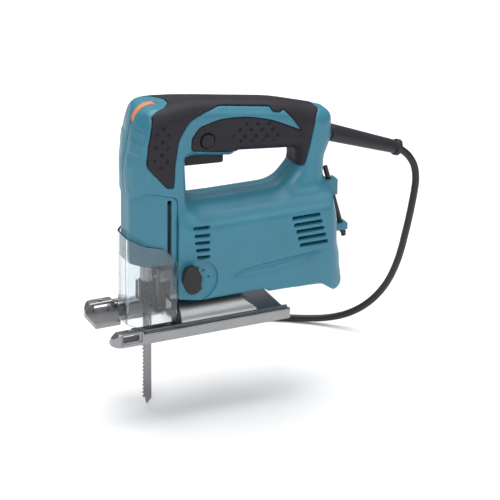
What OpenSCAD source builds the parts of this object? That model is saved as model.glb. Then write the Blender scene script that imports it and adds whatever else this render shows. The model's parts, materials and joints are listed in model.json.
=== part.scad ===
// Orbital jigsaw with a closed handle, tilting sole and sliding clear guard.
// Origin: the blade line on the sole's underside. +X is the rear, +Y the right side, +Z up.

/* [Housing] */
// Half width of the motor housing
body_half = 33; // [31:0.5:35]
// Half width of the head above the blade
head_half = 26.5; // [25.5:0.5:28]
// Half width of the handle bar
handle_half = 18.8; // [17:0.2:20]
// Height of the highest point of the head
top_z = 197.2; // [195:0.2:199]
// Thickness of the soft grip layer
grip_t = 2.2; // [1.5:0.1:2.6]

/* [Sole] */
// Half width of the sole
sole_half = 38.5; // [37:0.5:40]
// Front end of the sole ahead of the blade
sole_front = 45; // [43:1:50]
// Rear end of the sole behind the blade
sole_rear = 116; // [110:1:118]
// Thickness of the sole's floor
sole_t = 4; // [3:0.5:4.5]
// Height of the side rails
rail_h = 9; // [7:0.5:9.5]
// Outer radius of the tilting arch
arch_r = 26; // [25:0.5:26]
// How far the sole can be set back
sole_travel = 15; // [10:1:15]

/* [Blade drive] */
// Blade stroke
stroke = 18; // [10:1:18]
// Radius of the plunger rod
plunger_r = 6; // [5:0.5:6]
// How far the blade reaches below the sole
blade_reach = 76; // [60:1:78]
// Width of the blade
blade_w = 7.5; // [6:0.5:8]
// Thickness of the blade
blade_t = 1.2; // [0.8:0.1:1.5]
// Height of the motor axis
motor_z = 65; // [65:0.5:66]
// Gear module
gear_m = 0.8; // [0.75:0.05:0.8]
// Teeth on the motor pinion
pinion_teeth = 6; // [6:1:6]
// Teeth on the crank gear
crank_teeth = 50; // [46:1:50]

/* [Cord] */
// Diameter of the mains cord
cord_d = 6.4; // [6:0.2:7]
// Mean diameter of the coiled part
coil_d = 72; // [64:1:77]

/* [Hidden] */
$fn = 48;

teal = [0.10, 0.40, 0.47];
teal_dark = [0.08, 0.33, 0.40];
black = [0.07, 0.07, 0.08];
steel = [0.62, 0.63, 0.65];
bright = [0.78, 0.79, 0.80];
copper = [0.72, 0.38, 0.18];
gap = 0.1;            // clearance of a part in the pocket that holds it
run = 0.05;           // radial running clearance of a shaft
far = 300;            // longer than the whole tool

// ---- driven positions ----
seam_x = 17;                                  // front edge of the housing halves
chin_z = 123;                                 // underside of the nose, over the front cover
crank_z = motor_z + gear_m * (pinion_teeth + crank_teeth) / 2;
yoke_z = crank_z - stroke / 2;                // crank pin height at the bottom of the stroke
pivot_clear = norm([sole_half, rail_h]) + 0.5; // swept radius of the tilting sole
rail_in = sole_half - 10;                     // inner face of the side rails
bolt_x = 53;                                  // sole bolt
fork_pivot = [12, 44.5];                      // X and Z of the roller fork's pin
blade_back = 3.4;                             // X of the blade's back edge
roller_r = 5;
roller_at = [blade_back + 0.2 + roller_r, 14];
lever_at = [27, 48.5];                        // X and Z of the orbit lever's shaft
lock_at = [46, 164];                          // X and Z of the lock button
dial_at = [1.9, 182];                          // X and Z of the speed dial
dial_r = 15.2;
trigger_pivot = [31, 153.5];                  // X and Z of the trigger's hinge
pivot_r = 1.5;                                // pins of the trigger, the fork and its roller
brush_x = 123;
shaft_r = 3.5;                                // motor and crank gear shafts
core_r = 17.5;                                // armature core
fan_r = 23;
guard_root = [166.6, 0, 147.4];                   // where the cord guard leaves the housing
guard_drop = 19.9;                            // its slope below the horizontal
guard_len = 71;
wrench_top = [160.4, -6, 119.5];                // upper end of the stored wrench
wrench_lean = 16.6;                           // its lean from the vertical
wrench_len = 69.3;
wrench_r = 2.3;
floor_z = -77;                                // where the cord lies, level with the blade tip
coil_at = [130, 165];                         // X and Y of the coil's middle
plug_at = [154, 193];                         // X and Y of the plug's body
screws = [[20, 132], [22, 187], [92, 180], [155, 160], [150, 112], [86, 101.5], [152, 34]];

// ---- outline helpers ----
function unit(v) = v / norm(v);
function wrapped(a) = a > 180 ? a - 360 : a < -180 ? a + 360 : a;
// One rounded corner at b, between the neighbours a and c, as an arc of radius r
function corner(a, b, c, r) =
    let (u = unit(a - b), v = unit(c - b), half = acos(u * v) / 2,
         centre = b + unit(u + v) * r / sin(half),
         p = b + u * r / tan(half) - centre, q = b + v * r / tan(half) - centre,
         from = atan2(p[1], p[0]), turn = wrapped(atan2(q[1], q[0]) - from),
         n = max(1, ceil(abs(turn) / 15)))
    [for (i = [0 : n]) centre + r * [cos(from + turn * i / n), sin(from + turn * i / n)]];
function flat(p) = [p[0], p[1]];
// Outline through corners given as [x, y, radius]
function soft(p) = [for (i = [0 : len(p) - 1])
    let (a = flat(p[(i + len(p) - 1) % len(p)]), b = flat(p[i]), c = flat(p[(i + 1) % len(p)]))
    each (p[i][2] == 0 ? [b] : corner(a, b, c, p[i][2]))];
// The corners of half an outline and their mirror image across the X axis
function both_sides(p) = concat(p, [for (i = [len(p) - 1 : -1 : 0]) [p[i][0], -p[i][1], p[i][2]]]);
// The same across the second coordinate's axis
function both_ways(p) = concat(p, [for (i = [len(p) - 1 : -1 : 0]) [-p[i][0], p[i][1], p[i][2]]]);

// An X, Z outline given thickness along Y
module side(p, y0, y1) {
    translate([0, y1, 0]) rotate([90, 0, 0]) linear_extrude(y1 - y0) polygon(soft(p));
}
// A Y, Z outline given length along X
module section(p, x0, x1) {
    translate([x0, 0, 0]) rotate([90, 0, 90]) linear_extrude(x1 - x0) polygon(soft(p));
}
// An X, Y outline given height along Z
module plan(p, z0, z1) {
    translate([0, 0, z0]) linear_extrude(z1 - z0) polygon(soft(p));
}
module box(low, high) {
    translate(low) cube(high - low);
}
module along_x(x0, x1, r, z, y = 0) {
    translate([x0, y, z]) rotate([0, 90, 0]) cylinder(h = x1 - x0, r = r);
}
module along_y(y0, y1, r, at) {
    translate([at[0], y1, at[1]]) rotate([90, 0, 0]) cylinder(h = y1 - y0, r = r);
}
module along_z(z0, z1, r, x = 0, y = 0) {
    translate([x, y, z0]) cylinder(h = z1 - z0, r = r);
}
module ring_x(x0, x1, r_out, r_in, z) {
    difference() {
        along_x(x0, x1, r_out, z);
        along_x(x0 - 1, x1 + 1, r_in, z);
    }
}
module half(side_sign) {
    translate([-far, side_sign < 0 ? -far : 0, -far]) cube([2 * far, far, 2 * far]);
}

// ---- the housing's outer shape ----
side_outline = [[seam_x, 27.7, 0], [seam_x, chin_z, 0], [-20.9, chin_z, 0], [-22, 146, 60],
    [-15.4, 180, 30], [-9.5, top_z, 16], [34, top_z, 120], [112, 185.5, 150], [165.3, 170.5, 10],
    [165.8, 147, 6], [158.5, 131, 12], [157.3, 108, 20], [165, 82, 30], [166.3, 57, 3],
    [169.8, 44, 12], [169.8, 14, 6], [160, 12.5, 3], [148, 23, 12], [98, 25, 0], [94, 27.7, 0]];
opening_outline = [[26.3, 151.5, 0], [29, 111.5, 8], [60, 109.5, 0], [114, 109, 20],
    [131.5, 127, 12], [131, 142.7, 6], [77, 148.3, 0], [70, 144.8, 2], [65, 145.5, 0]];
grip_outline = [[-4.4, 205, 0], [-4.4, 193, 5], [-9.3, 170, 40], [-10.7, 152, 8], [7, 131, 4],
    [13.2, 130.4, 1], [14, 148, 40], [17.5, 170, 20], [28, 184, 15], [45, 188.9, 30], [66, 190.6, 60],
    [102.5, 185.8, 3], [106, 180.2, 2.5], [112, 178.8, 3], [116.3, 180.4, 2], [123, 173, 20],
    [131.5, 160.8, 0], [104, 173.8, 60], [82, 179.8, 60], [58, 181.6, 40], [39, 176.8, 15],
    [31, 168.5, 8], [30.6, 157.5, 5], [45, 154, 20], [66.5, 150.2, 3], [72, 151.5, 0], [76, 144, 0],
    [118, 140, 6], [121, 133, 0], [130, 127, 3], [136.3, 127.5, 3], [142.9, 160, 40],
    [145.5, 171, 8], [153, 175, 0], [153, 205, 0]];
// The nose's hard top, which runs back into the soft grip as a rounded tongue
nose_tongue = both_sides([[-40, 21, 0], [-3, 20.5, 3], [9, 15, 8], [16.7, 5, 8]]);
lower_plan = both_sides([[seam_x - 7, 25, 0], [38, body_half, 30], [157, body_half, 20], [169.8, 14, 10]]);
lower_section = both_ways([[body_half, 10, 0], [body_half, 98, 8], [10, 110, 20]]);
upper_half_plan = [[-22, 10.5, 8], [-12, head_half, 13], [12, head_half, 20],
    [38, handle_half, 25], [150, 17.8, 30], [169.8, 13, 8]];
function narrower(p, by) = [for (c = p) [c[0] + (c[0] < -20 ? by : 0), c[1] - by, c[2]]];

// A sloping roof over the handle: everything under a rounded ridge that starts at x, z
module roof(x, z, slope, length, half_w, r) {
    translate([x, 0, z]) rotate([0, slope, 0])
        section(both_ways([[half_w, -110, 0], [half_w, 0, r]]), 0, length);
}
// Nose, handle bar and rear leg, drawn in by the thickness of the soft grip
module upper_shape(inset = 0) {
    intersection() {
        plan(both_sides(narrower(upper_half_plan, inset)), 90, 210);
        union() {
            roof(-30, top_z + 0.2 - inset, 0, 62, head_half + 1, 17);
            roof(26, top_z + 0.5 - inset, 8.5, 90, handle_half + 0.2 - inset, 12);
            roof(108, 186.8 - inset, 16.5, 90, handle_half - inset, 12);
        }
    }
}
module outer_shape() {
    difference() {
        intersection() {
            side(side_outline, -60, 60);
            union() {
                intersection() {
                    plan(lower_plan, 0, 130);
                    section(lower_section, 0, 200);
                }
                upper_shape();
            }
        }
        side(opening_outline, -60, 60);
    }
}
// Cheeks beside the blade, inside the clear guard
module cheeks() {
    for (s = [-1, 1])
        box([4, s > 0 ? 21.5 : -24.5, 27.7], [seam_x + 0.5, s > 0 ? 24.5 : -21.5, 62]);
}
// The room that the tilting sole sweeps under the housing, less the keel over the arch
module sole_room() {
    difference() {
        along_x(-10, 137, pivot_clear, 0);
        box([seam_x - 1, -12.5, arch_r + 1], [140, 12.5, 60]);
    }
}
module vents(s) {
    for (i = [0 : 4]) {
        box([29 + 0.7 * i, s * 29 - 9, 91.5 - 6.5 * i], [43.4, s * 29 + 9, 94.2 - 6.5 * i]);
        translate([119 + 1.9 * i, s * 33 - 9, 87 - 6.4 * i]) cube([26.5, 18, 2.8]);
    }
}
module screw_holes(extra) {
    for (p = screws) {
        along_y(-11, 40, 2 + extra, p);
        along_y(11, 60, 3.8 + extra, p);
    }
}
module guard_axis() {
    translate(guard_root) rotate([0, 90 + guard_drop, 0]) children();
}
module cavities() {
    gear_box(gap);
    box([-9, -9, 139], [9, 9, 168]);                                   // plunger's upper end
    along_x(38, 53, 27.5, motor_z);                                    // fan chamber
    along_x(52, 110, 27 + gap, motor_z);                               // field
    along_x(109, 137, 24, motor_z);                                    // brush gear
    for (s = [-1, 1])
        box([116, s > 0 ? 10 : -28, 58], [130, s > 0 ? 28 : -10, 72]);
    along_x(136, 146, 9.5, motor_z);                                   // rear bearing
    along_x(145, 151, 6, motor_z);
    along_y(-3 - gap, 3 + gap, dial_r + 0.4, dial_at);                 // dial and its slot
    box([27.2, -9.6, 140], [66.5, 9.6, 157.2]);                        // trigger
    along_y(-12, 12, pivot_r, trigger_pivot);
    box([31.5, -9 - gap, 157], [72.5, 9 + gap, 176 + gap]);            // switch
    box([78, -9, 154], [122, 9, 170]);                                 // control board
    box([70, -3.5, 160], [80, 3.5, 167]);                              // wire way
    box([120, -4, 158], [152, 4, 165]);
    along_y(-40, -9, 6.1, lock_at);
    along_y(-40, -8, 3 + run, lever_at);
    along_y(-40, -31.4, 17.5, [30.5, 47.5]);                           // lever's recess
    guard_axis() translate([0, 0, -14]) cylinder(h = 40, r = 6.7);
    box([138, -10, 151.5], [152, 10, 158]);                            // cord clamp
    for (s = [-1, 1]) vents(s);
    screw_holes(gap);
}
module grip_layer() {
    intersection() {
        side(grip_outline, -60, 60);
        difference() {
            outer_shape();
            upper_shape(grip_t);
            plan(nose_tongue, 180, 210);
        }
    }
}
module housing_half(s) {
    intersection() {
        half(s);
        difference() {
            union() {
                outer_shape();
                cheeks();
            }
            grip_layer();
            sole_room();
            cavities();
        }
    }
}
module housing_left() { color(teal) housing_half(-1); }
module housing_right() { color(teal) housing_half(1); }
module grip_half(s) {
    intersection() {
        half(s);
        difference() {
            grip_layer();
            cavities();
        }
    }
}
module grip_left() { color(black) grip_half(-1); }
module grip_right() { color(black) grip_half(1); }

// ---- head ----
module gear_box(grow = 0) {
    box([seam_x + 0.2 - grow, -24.5 - grow, 50 - grow], [38 + grow, 24.5 + grow, 98 + grow]);
    section(both_ways([[24.5 + grow, 97, 0], [15 + grow, 110.6 + grow, 3]]), seam_x + 0.2 - grow, 28 + grow);
    box([-11 - grow, -16 - grow, 61 - grow], [seam_x + 1, 16 + grow, 112 + grow]);
    box([-11 - grow, -13 - grow, 110], [11 + grow, 13 + grow, 140 + grow]);
    box([16.2 - grow, -11 - grow, 20], [80 + grow, 11 + grow, 36 + grow]);
    box([16.2 - grow, -11 - grow, 30], [38 + grow, 11 + grow, 51]);
    for (s = [-1, 1])
        box([8, s > 0 ? 5.2 : -9, 40], [seam_x, s > 0 ? 9 : -5.2, 50]);
}
module gear_housing() {
    color(steel) difference() {
        gear_box();
        along_x(-50, 120, arch_r + 0.3, 0);                            // saddle on the arch
        along_x(19, 27, gear_m * crank_teeth / 2 + 1.2, crank_z);      // gear room
        box([-8, -13, 72], [19.5, 13, 109.5]);                         // yoke room
        along_z(60, 73, 8);
        along_z(109, 141, 8);
        along_x(19, 27.5, 4.2, motor_z);                               // pinion room
        along_x(27, 31, 4.5, motor_z);
        along_x(30, 39, 11, motor_z);
        along_x(26, 34, 3.5, crank_z);
        along_y(-20, 20, pivot_r, fork_pivot);
        along_y(-26, -5, 3 + run, lever_at);
        along_z(20, 37, 3, bolt_x);
    }
}
cover_plan = [[-19.9, 9.6, 8], [-11, 24.5, 12], [seam_x - 0.2, 24.5, 0]];
module front_cover() {
    color(teal_dark) difference() {
        plan(both_sides(cover_plan), 62, chin_z);
        plan(both_sides([[-17.7, 9, 6], [-10, 22.3, 10], [seam_x + 1, 22.3, 0]]), 60, chin_z + 1);
        for (s = [-1, 1])
            box([8, s * 24.5 - 1.2, 66], [11.5, s * 24.5 + 1.2, chin_z - 2]);
    }
}
module dust_cover() {
    color([0.85, 0.9, 0.92, 0.35]) intersection() {
        difference() {
            plan(both_sides([[-22.8, 10.5, 9], [-12.6, 26.6, 13], [16, 26.6, 0]]), 6.5, 86);
            plan(both_sides([[-21, 10, 7.5], [-11.9, 24.8, 11.5], [17, 24.8, 0]]), 6, 87);
        }
        side([[-26, 6.5, 0], [6, 6.5, 6], [15.5, 14, 8], [16, 64, 12], [4, 77.5, 10], [-26, 85.5, 0]], -30, 30);
    }
}

// ---- sole ----
module arch_shell() {
    intersection() {
        difference() {
            along_x(21, 90, arch_r, 0);
            along_x(20, 91, arch_r - 2.5, 0);
        }
        side([[20, 1, 0], [20, 40, 0], [77, 40, 0], [77.5, 24, 0], [81, 16, 8], [90, 9, 0], [90, 1, 0]], -40, 40);
    }
}
module sole() {
    color(bright) difference() {
        union() {
            intersection() {
                plan(both_sides([[-sole_front, sole_half, 9], [sole_rear, sole_half, 3]]), 0, 40);
                union() {
                    box([-60, -60, 0], [200, 60, sole_t]);
                    for (s = [-1, 1]) {
                        box([-18.5, s > 0 ? rail_in : -sole_half, 0], [200, s > 0 ? sole_half : -rail_in, rail_h]);
                        box([-60, s > 0 ? rail_in : -sole_half, 0], [-18, s > 0 ? sole_half : -rail_in, 12]);
                    }
                }
            }
            arch_shell();
        }
        box([21, -arch_r + 2.5, -1], [90, arch_r - 2.5, sole_t + 1]);
        box([-22, -12, -1], [22, 12, 6]);
        box([-60, -4.5, -1], [-21, 4.5, 6]);
        for (s = [-1, 1]) {
            box([-17, s * 33 - 1, rail_h - 1.5], [200, s * 33 + 1, rail_h + 1]);
            box([-36.5, s * 33 - 8, sole_t], [-22, s * 33 + 8, 9.5]);
            along_z(9, 13, 2, -29.5, s * 33);
        }
        side([[-50, 5, 0], [-50, 14, 0], [-38, 14, 0], [-47, 5, 0]], -60, 60);
        bolt_window(arch_r - 4, arch_r + 2, bolt_x - 3.6 - sole_travel, bolt_x + 3.6);
    }
}
// Window for the sole bolt, open over every tilt
module bolt_window(r0, r1, x0, x1) {
    translate([x0, 0, 0]) rotate([90, 0, 90]) linear_extrude(x1 - x0)
        polygon([for (a = [36 : 4 : 100]) r1 * [cos(a), sin(a)], for (a = [100 : -4 : 36]) r0 * [cos(a), sin(a)]]);
}
module arch_cap() {
    color(black) difference() {
        along_x(16.3, 20.8, arch_r, 0);
        box([0, -60, -60], [60, 60, sole_t]);
        box([0, -12.2, 0], [60, 12.2, 21]);
    }
}
module bevel_clamp() {
    color(steel) difference() {
        translate([bolt_x - 13, 0, 0]) rotate([90, 0, 90]) linear_extrude(26)
            polygon([for (a = [24 : 4 : 116]) 23.2 * [cos(a), sin(a)], for (a = [116 : -4 : 24]) 19.8 * [cos(a), sin(a)]]);
        bolt_window(18, 25, bolt_x - 3.4, bolt_x + 3.4);
    }
}
module sole_bolt() {
    color(steel) difference() {
        union() {
            along_z(13.4, 19.2, 5, bolt_x);
            along_z(19, 34, 3 - run, bolt_x);
        }
        translate([bolt_x, 0, 13]) cylinder(h = 3.5, r = 2.9, $fn = 6);
    }
}

// ---- blade drive ----
module plunger() {
    color(bright) difference() {
        union() {
            along_z(41, 146, plunger_r);
            box([0, -12.3, yoke_z - 5.5], [16, 12.3, yoke_z + 5.5]);
        }
        box([12, -11, yoke_z - 3.3], [17, 11, yoke_z + 3.3]);
    }
}
module plunger_bushes() {
    color(copper) for (z = [[61.2, 71.2], [126, 138]])
        difference() {
            along_z(z[0], z[1], 8);
            along_z(z[0] - 1, z[1] + 1, plunger_r + run);
        }
}
module blade_holder() {
    color(black) difference() {
        union() {
            along_z(21, 41, 7);
            box([-8, -6, 23], [4, 6, 39]);
            along_y(-7.5, 0, 5.6, [-3, 33]);
        }
        box([-4.6, -blade_t / 2 - 0.05, 20], [4, blade_t / 2 + 0.05, 38]);
        along_y(-8, -0.7, 2.5, [-3, 33]);
    }
}
module holder_bolt() {
    color(steel) difference() {
        union() {
            along_y(-10.5, -7.5, 4.2, [-3, 33]);
            along_y(-8, -1, 2.5, [-3, 33]);
        }
        translate([-3, -9, 33]) rotate([90, 0, 0]) cylinder(h = 3, r = 2.3, $fn = 6);
    }
}
module blade() {
    front = blade_back - blade_w;
    teeth = 26;
    pitch = (blade_reach - 12) / teeth;
    color(bright) translate([0, blade_t / 2, 0]) rotate([90, 0, 0]) linear_extrude(blade_t) polygon(concat(
        [[blade_back, 37.5], [-4.4, 37.5], [-4.4, 24], [front + 0.8, 20]],
        [for (i = [0 : teeth - 1]) each [[front + 1.3, -4 - pitch * i], [front, -4 - pitch * (i + 0.8)]]],
        [[front + 1.3, -blade_reach + 8], [-1, -blade_reach], [blade_back, -blade_reach + 5]]));
}
module roller_fork() {
    color(steel) difference() {
        side([[9.2, 48, 2], [14.8, 48, 2], [14.8, 10.5, 2], [6, 10, 1.5], [6, 18.5, 1.5],
            [9, 22, 2], [9, 40, 2]], -4.5, 4.5);
        box([0, -2.7, 7], [13.9, 2.7, 19.6]);
        along_y(-5, 5, pivot_r + run, fork_pivot);
        along_y(-5, 5, pivot_r, roller_at);
    }
}
module fork_pin() { color(steel) along_y(-9, 9, pivot_r, fork_pivot); }
module roller() {
    color(steel) difference() {
        along_y(-2.5, 2.5, roller_r, roller_at);
        along_y(-3, 3, pivot_r + run, roller_at);
    }
}
module roller_pin() { color(bright) along_y(-4.5, 4.5, pivot_r, roller_at); }

// ---- motor ----
// One gear's outline: tip and root give the half width of a tooth there, in half pitches
function gear_outline(teeth, tip, root) =
    let (r = gear_m * teeth / 2, wide = 70.2 / teeth)
    [for (i = [0 : teeth - 1])
        for (c = [[-1.05, -root], [0, -1], [0.8, -tip], [0.8, tip], [0, 1], [-1.05, root]])
            let (a = 360 * i / teeth + wide * c[1]) (r + gear_m * c[0]) * [cos(a), sin(a)]];
module gear_x(outline, x0, x1, z, phase) {
    translate([x0, 0, z]) rotate([90, 0, 90]) linear_extrude(x1 - x0) rotate(phase) polygon(outline);
}
module armature_shaft() {
    color(steel) {
        gear_x(gear_outline(pinion_teeth, 0.45, 1.35), 19.5, 26.5, motor_z, 90);
        along_x(26.5, 148, shaft_r, motor_z);
    }
}
module armature_core() {
    color(steel) difference() {
        ring_x(61, 105, core_r, shaft_r, motor_z);
        for (i = [0 : 11])
            translate([60, 0, motor_z]) rotate([30 * i + 15, 0, 0]) translate([0, core_r - 4, -1.2]) cube([46, 6, 2.4]);
    }
}
module armature_windings() {
    color(copper) for (x = [54, 105])
        ring_x(x, x + 7 - gap * (x == 54 ? 0 : 1), core_r - 2, shaft_r, motor_z);
}
module commutator() {
    color(copper) difference() {
        ring_x(116, 130, 10, shaft_r, motor_z);
        for (i = [0 : 11])
            translate([115, 0, motor_z]) rotate([30 * i, 0, 0]) translate([0, 9.2, -0.3]) cube([12, 2, 0.6]);
    }
}
module fan() {
    color(black) {
        ring_x(40, 51, 7, shaft_r, motor_z);
        ring_x(48.5, 51, fan_r, 6.5, motor_z);
        for (i = [0 : 11])
            translate([41, 0, motor_z]) rotate([30 * i, 0, 0]) translate([0, 6.5, -0.7]) cube([8, fan_r - 8, 1.4]);
    }
}
module front_bearing() { color(bright) ring_x(30, 37, 11, shaft_r + run, motor_z); }
module rear_bearing() { color(bright) ring_x(139, 146, 9.5, shaft_r + run, motor_z); }
module field_core() { color(steel) ring_x(62, 104, 27, core_r + 0.7, motor_z); }
module field_coils() {
    color(copper) for (x = [56, 104])
        difference() {
            ring_x(x, x + 6, 25, core_r + 1.1, motor_z);
            box([x - 1, -5, 0], [x + 7, 5, 130]);
        }
}
module brush_holders() {
    color([0.75, 0.65, 0.35]) for (s = [-1, 1])
        difference() {
            box([118, s > 0 ? 10.8 : -26, 60], [128, s > 0 ? 26 : -10.8, 70]);
            box([120, s > 0 ? 9 : -24, 62.5], [126, s > 0 ? 24 : -9, 67.5]);
        }
}
module carbon_brushes() {
    color(black) for (s = [-1, 1])
        box([120.1, s > 0 ? 10.3 : -19, 62.6], [125.9, s > 0 ? 19 : -10.3, 67.4]);
}
module brush_springs() {
    color(steel) for (s = [-1, 1])
        difference() {
            along_y(s > 0 ? 19 : -24, s > 0 ? 24 : -19, 2, [brush_x, motor_z]);
            along_y(-30, 30, 1.2, [brush_x, motor_z]);
        }
}
module crank_gear() {
    color(steel) difference() {
        gear_x(gear_outline(crank_teeth, 0.55, 1.4), 20, 26, crank_z, -90 + 180 / crank_teeth);
        along_x(19, 27, shaft_r + run, crank_z);
        for (a = [30, 90, 150])
            along_x(19, 27, 4, crank_z + 12 * sin(a), 12 * cos(a));
    }
}
module crank_pin() { color(bright) along_x(16.5, 20, 3, yoke_z); }
module gear_shaft() {
    color(steel) {
        along_x(18.4, 34, shaft_r, crank_z);
        along_x(18.4, 19.7, 5, crank_z);
    }
}

// ---- controls ----
module switch_body() { color(black) box([32, -9, 158], [72, 9, 176]); }
module trigger() {
    color(black) difference() {
        side([[28, 156, 1.5], [28, 141, 2], [46, 140, 60], [64.5, 139, 2], [64.5, 151.5, 1],
            [35, 151.5, 1], [34, 156, 1.5]], -8.8, 8.8);
        box([34.5, -6.5, 144], [61, 6.5, 152]);
        along_y(-10, 10, pivot_r + run, trigger_pivot);
    }
}
module trigger_pin() { color(steel) along_y(-12, 12, pivot_r, trigger_pivot); }
module trigger_spring() {
    color(steel) difference() {
        along_z(144.1, 157.9, 3, 52);
        along_z(144, 158, 2, 52);
    }
}
module lock_button() { color(black) along_y(-20.5, -12.5, 5.8, lock_at); }
module orbit_lever() {
    color(black) side([[19, 61, 6], [28, 63, 5], [34, 52, 6], [32, 38, 6], [22, 37, 5], [16.5, 50, 8]], -38.3, -32);
}
module orbit_shaft() { color(steel) along_y(-32, -6, 3, lever_at); }
module speed_dial() { color([0.9, 0.45, 0.1]) along_y(-3, 3, dial_r, dial_at); }
module control_board() {
    color([0.1, 0.35, 0.2]) {
        box([80, -8, 160], [120, 8, 161.6]);
        box([84, -5, 161.6], [98, 5, 168]);
        along_z(161.6, 166, 3.5, 106, 3);
        box([102, -7, 161.6], [112, -2, 164]);
    }
}

// ---- stored wrench ----
module in_wrench_frame() {
    translate(wrench_top) rotate([0, 180 - wrench_lean, 0]) children();
}
module wrench_clip() {
    color(teal) difference() {
        union() {
            box([155, -11, 94], [170.5, -1, 108]);
            box([160, -11, 60], [181.2, -1, 66]);
        }
        outer_shape();
        in_wrench_frame() translate([0, 0, -20]) cylinder(h = wrench_len + 40, r = wrench_r + run);
    }
}
module hex_wrench() {
    color(black) in_wrench_frame() {
        cylinder(h = wrench_len, r = wrench_r, $fn = 6);
        translate([0, -wrench_r, wrench_len - 4]) rotate([-90, 0, 0]) cylinder(h = 16, r = wrench_r, $fn = 6);
    }
}

// ---- fastenings and cord entry ----
module housing_screws() {
    color(steel) for (p = screws) {
        along_y(-10, 11, 2, p);
        along_y(11, 14, 3.8, p);
    }
}
module cord_guard() {
    color(black) guard_axis() {
        translate([0, 0, -12]) cylinder(h = 12, r = 6.6);
        cylinder(h = guard_len - 4, r1 = 7.6, r2 = 5.8);
        translate([0, 0, guard_len - 4]) cylinder(h = 4, r = 7.2);
    }
}
module cord_clamp() {
    color(black) difference() {
        box([140, -8, 152], [150, 8, 155]);
        for (y = [-5.5, 5.5])
            along_z(151, 156, 1.3, 145, y);
    }
}
module clamp_screws() {
    color(steel) for (y = [-5.5, 5.5]) {
        along_z(152, 155, 1.3, 145, y);
        along_z(155, 157, 2.6, 145, y);
    }
}

// ---- cord ----
// From the guard, down in the air, along the floor and into the coil's outer turn
route = [[233.4, 0, 123.2], [242.9, 0, 115], [249.5, 0.1, 104.3], [252, 0.7, 92],
    [252.1, 2.3, 79.5], [251.8, 4.9, 67.2], [251.7, 8.1, 55], [251.6, 11.7, 42.9],
    [251.5, 15.6, 30.9], [251.4, 19.6, 19], [251, 24, 7.1], [250.1, 28.9, -4.5],
    [248.7, 34.2, -15.8], [246.3, 39.9, -26.7], [242.8, 46.3, -37.1], [238.2, 53.1, -46.6],
    [232.4, 60.5, -55], [225.3, 68.3, -62], [217, 76.2, -67.1], [207.9, 84.2, -70.5],
    [198.1, 91.9, -72.4], [187.9, 99.2, -73.4], [177.2, 106, -73.7], [166.1, 111.9, -73.8],
    [154.5, 116.7, -73.8], [142.4, 120.2, -73.8], [130, 122.6, -73.8]];
// From the coil's last turn, over its top, to the plug
tail = [[145, 139, -60.5], [135, 134.5, -59], [124, 132.5, -57], [112, 134, -55.3], [100.5, 140, -54.6],
    [91.5, 151, -54.5], [88, 164.5, -54.5], [89.5, 174.5, -54.4], [94.5, 183, -54], [102, 189.5, -53.4],
    [111, 192.6, -52.5], [120, 193, -51.8]];
function bend(p, i, t) =
    let (a = p[max(i - 1, 0)], b = p[i], c = p[i + 1], d = p[min(i + 2, len(p) - 1)])
    0.5 * (2 * b + (c - a) * t + (2 * a - 5 * b + 4 * c - d) * t * t + (3 * b - a - 3 * c + d) * t * t * t);
function curve(p, steps) =
    concat([for (i = [0 : len(p) - 2]) for (k = [0 : steps - 1]) bend(p, i, k / steps)], [p[len(p) - 1]]);
module tube(p, r, sides) {
    n = len(p);
    rings = [for (i = [0 : n - 1])
        let (t = unit(p[min(i + 1, n - 1)] - p[max(i - 1, 0)]),
             u = unit(cross(t, [0.3, 1, 0.2])), v = cross(t, u))
        for (k = [0 : sides - 1]) p[i] + r * (cos(360 * k / sides) * u + sin(360 * k / sides) * v)];
    polyhedron(rings, concat(
        [[for (k = [0 : sides - 1]) k]],
        [[for (k = [sides - 1 : -1 : 0]) (n - 1) * sides + k]],
        [for (i = [0 : n - 2]) for (k = [0 : sides - 1])
            let (a = i * sides + k, b = i * sides + (k + 1) % sides)
            each [[a, a + sides, b + sides], [a, b + sides, b]]]));
}
module cord() {
    color(black) {
        tube(curve(route, 2), cord_d / 2, 10);
        tube(curve(tail, 2), cord_d / 2, 10);
    }
}
module cord_coil() {
    color(black) translate([coil_at[0], coil_at[1], floor_z])
        rotate_extrude() translate([coil_d / 2 - 1.5 * cord_d, 0]) square([3 * cord_d, 3 * cord_d]);
}
module coil_tie() {
    r = coil_d / 2;
    color(black) translate([coil_at[0], coil_at[1], 0]) rotate([0, 0, -15]) difference() {
        box([r - 1.5 * cord_d - 1.2, -4, floor_z], [r + 1.5 * cord_d + 1.2, 4, floor_z + 3 * cord_d + 1.2]);
        box([r - 1.5 * cord_d, -5, floor_z - 1], [r + 1.5 * cord_d, 5, floor_z + 3 * cord_d]);
    }
}
module in_plug_frame() {
    translate([plug_at[0], plug_at[1], floor_z + 3 * cord_d]) children();
}
module plug_body() {
    color(black) in_plug_frame() {
        plan([[0, -17, 8], [26, -17.5, 4], [36, -13, 3], [36, 13, 3], [26, 17.5, 4], [0, 17, 8],
            [-14, 7, 6], [-14, -7, 6]], 0, 15);
        translate([-34, 0, 6]) rotate([0, 90, 0]) cylinder(h = 20.5, r1 = 3.8, r2 = 6);
    }
}
module plug_pins() {
    color(bright) in_plug_frame() for (y = [-9.5, 9.5])
        along_x(36, 55, 2.4, 7.5, y);
}

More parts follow.
